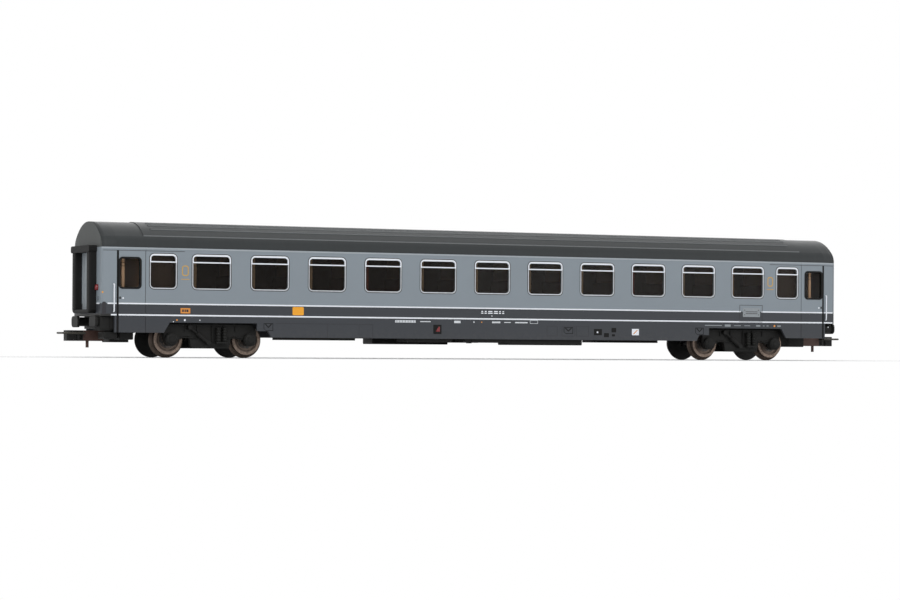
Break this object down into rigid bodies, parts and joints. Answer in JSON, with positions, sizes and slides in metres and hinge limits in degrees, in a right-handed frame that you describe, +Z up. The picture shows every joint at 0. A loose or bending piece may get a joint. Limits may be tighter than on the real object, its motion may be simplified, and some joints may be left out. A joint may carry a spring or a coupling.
{
  "type": "passenger coach scale model",
  "caption": "Scale model of a bogie passenger coach with large framed windows, ribbed roof, skirts, rubber gangways, buffers, swivelling bogies and bow couplers.",
  "frame": {"origin": "on the floor under the wheel flanges, midway along the coach and across it", "axes": "+X along the coach, +Y across it to the corridor side, +Z up"},
  "size_m": [0.3206, 0.0334, 0.0478],
  "materials": {
    "body_paint": "satin painted plastic",
    "roof_paint": "matt painted plastic",
    "black_plastic": "matt moulded plastic",
    "rubber": "matt moulded plastic, as rubber",
    "end_door_paint": "matt painted plastic",
    "clear_plastic": "clear moulded plastic",
    "frame_print": "silver and white print",
    "lamp_plastic": "dark red moulded plastic",
    "rail_wire": "white painted wire",
    "interior_plastic": "matt moulded plastic",
    "seat_plastic": "matt moulded plastic",
    "weight_steel": "rolled sheet",
    "wheel_metal": "blackened and burnished metal",
    "axle_steel": "turned steel",
    "coupler_metal": "browned metal"
  },
  "bodies": {
    "coach": {"roof": "roof_paint", "door_seals": "rubber", "handrails": "rail_wire", "end_doors": "end_door_paint", "tail_lamps": "lamp_plastic", "underframe": "black_plastic", "centre_sill": "black_plastic", "buffer_beams": "black_plastic", "underfloor_boxes": "black_plastic", "weight": "weight_steel", "floor_tray": "interior_plastic", "corridor_wall": "interior_plastic", "partitions": "interior_plastic", "seats": "seat_plastic", "side_wall_near": "body_paint", "skirts_near": "body_paint", "glazing_near": "clear_plastic", "window_frames_near": "frame_print", "side_wall_far": "body_paint", "skirts_far": "body_paint", "glazing_far": "clear_plastic", "window_frames_far": "frame_print", "end_section_front": "body_paint", "gangway_front": "rubber", "buffers_front": "black_plastic", "coupler_mount_front": "black_plastic", "bogie_pin_front": "black_plastic", "end_section_rear": "body_paint", "gangway_rear": "rubber", "buffers_rear": "black_plastic", "coupler_mount_rear": "black_plastic", "bogie_pin_rear": "black_plastic"},
    "bogie_front": {"bogie_frame_front": "black_plastic", "bogie_springs_front": "black_plastic", "bogie_dampers_front": "black_plastic", "bogie_brakes_front": "black_plastic"},
    "wheelset_front_a": {"axle_front_a": "axle_steel", "wheels_front_a": "wheel_metal"},
    "wheelset_front_b": {"axle_front_b": "axle_steel", "wheels_front_b": "wheel_metal"},
    "coupler_front": {"coupler_hook_front": "coupler_metal", "coupler_head_front": "black_plastic"},
    "bow_front": {"coupler_bow_front": "coupler_metal"},
    "bogie_rear": {"bogie_frame_rear": "black_plastic", "bogie_springs_rear": "black_plastic", "bogie_dampers_rear": "black_plastic", "bogie_brakes_rear": "black_plastic"},
    "wheelset_rear_a": {"axle_rear_a": "axle_steel", "wheels_rear_a": "wheel_metal"},
    "wheelset_rear_b": {"axle_rear_b": "axle_steel", "wheels_rear_b": "wheel_metal"},
    "coupler_rear": {"coupler_hook_rear": "coupler_metal", "coupler_head_rear": "black_plastic"},
    "bow_rear": {"coupler_bow_rear": "coupler_metal"}
  },
  "joints": [
    {"name": "bogie_front_swivel", "type": "hinge", "parent": "coach", "child": "bogie_front", "pos_m": [-0.1092, 0, 0.0127], "axis": [0, 0, 1], "range_deg": [-17, 17]},
    {"name": "wheelset_front_a_spin", "type": "hinge", "parent": "bogie_front", "child": "wheelset_front_a", "pos_m": [-0.1239, 0, 0.0064], "axis": [0, 1, 0], "continuous": true},
    {"name": "wheelset_front_b_spin", "type": "hinge", "parent": "bogie_front", "child": "wheelset_front_b", "pos_m": [-0.0945, 0, 0.0064], "axis": [0, 1, 0], "continuous": true},
    {"name": "coupler_front_swing", "type": "hinge", "parent": "coach", "child": "coupler_front", "pos_m": [-0.1396, 0, 0.008], "axis": [0, 0, 1], "range_deg": [-15, 15]},
    {"name": "bow_front_lift", "type": "hinge", "parent": "coupler_front", "child": "bow_front", "pos_m": [-0.1526, 0, 0.00845], "axis": [0, 1, 0], "range_deg": [0, 14]},
    {"name": "bogie_rear_swivel", "type": "hinge", "parent": "coach", "child": "bogie_rear", "pos_m": [0.1092, 0, 0.0127], "axis": [0, 0, 1], "range_deg": [-17, 17]},
    {"name": "wheelset_rear_a_spin", "type": "hinge", "parent": "bogie_rear", "child": "wheelset_rear_a", "pos_m": [0.0945, 0, 0.0064], "axis": [0, 1, 0], "continuous": true},
    {"name": "wheelset_rear_b_spin", "type": "hinge", "parent": "bogie_rear", "child": "wheelset_rear_b", "pos_m": [0.1239, 0, 0.0064], "axis": [0, 1, 0], "continuous": true},
    {"name": "coupler_rear_swing", "type": "hinge", "parent": "coach", "child": "coupler_rear", "pos_m": [0.1396, 0, 0.008], "axis": [0, 0, 1], "range_deg": [-15, 15]},
    {"name": "bow_rear_lift", "type": "hinge", "parent": "coupler_rear", "child": "bow_rear", "pos_m": [0.1526, 0, 0.00845], "axis": [0, -1, 0], "range_deg": [0, 14]}
  ]
}
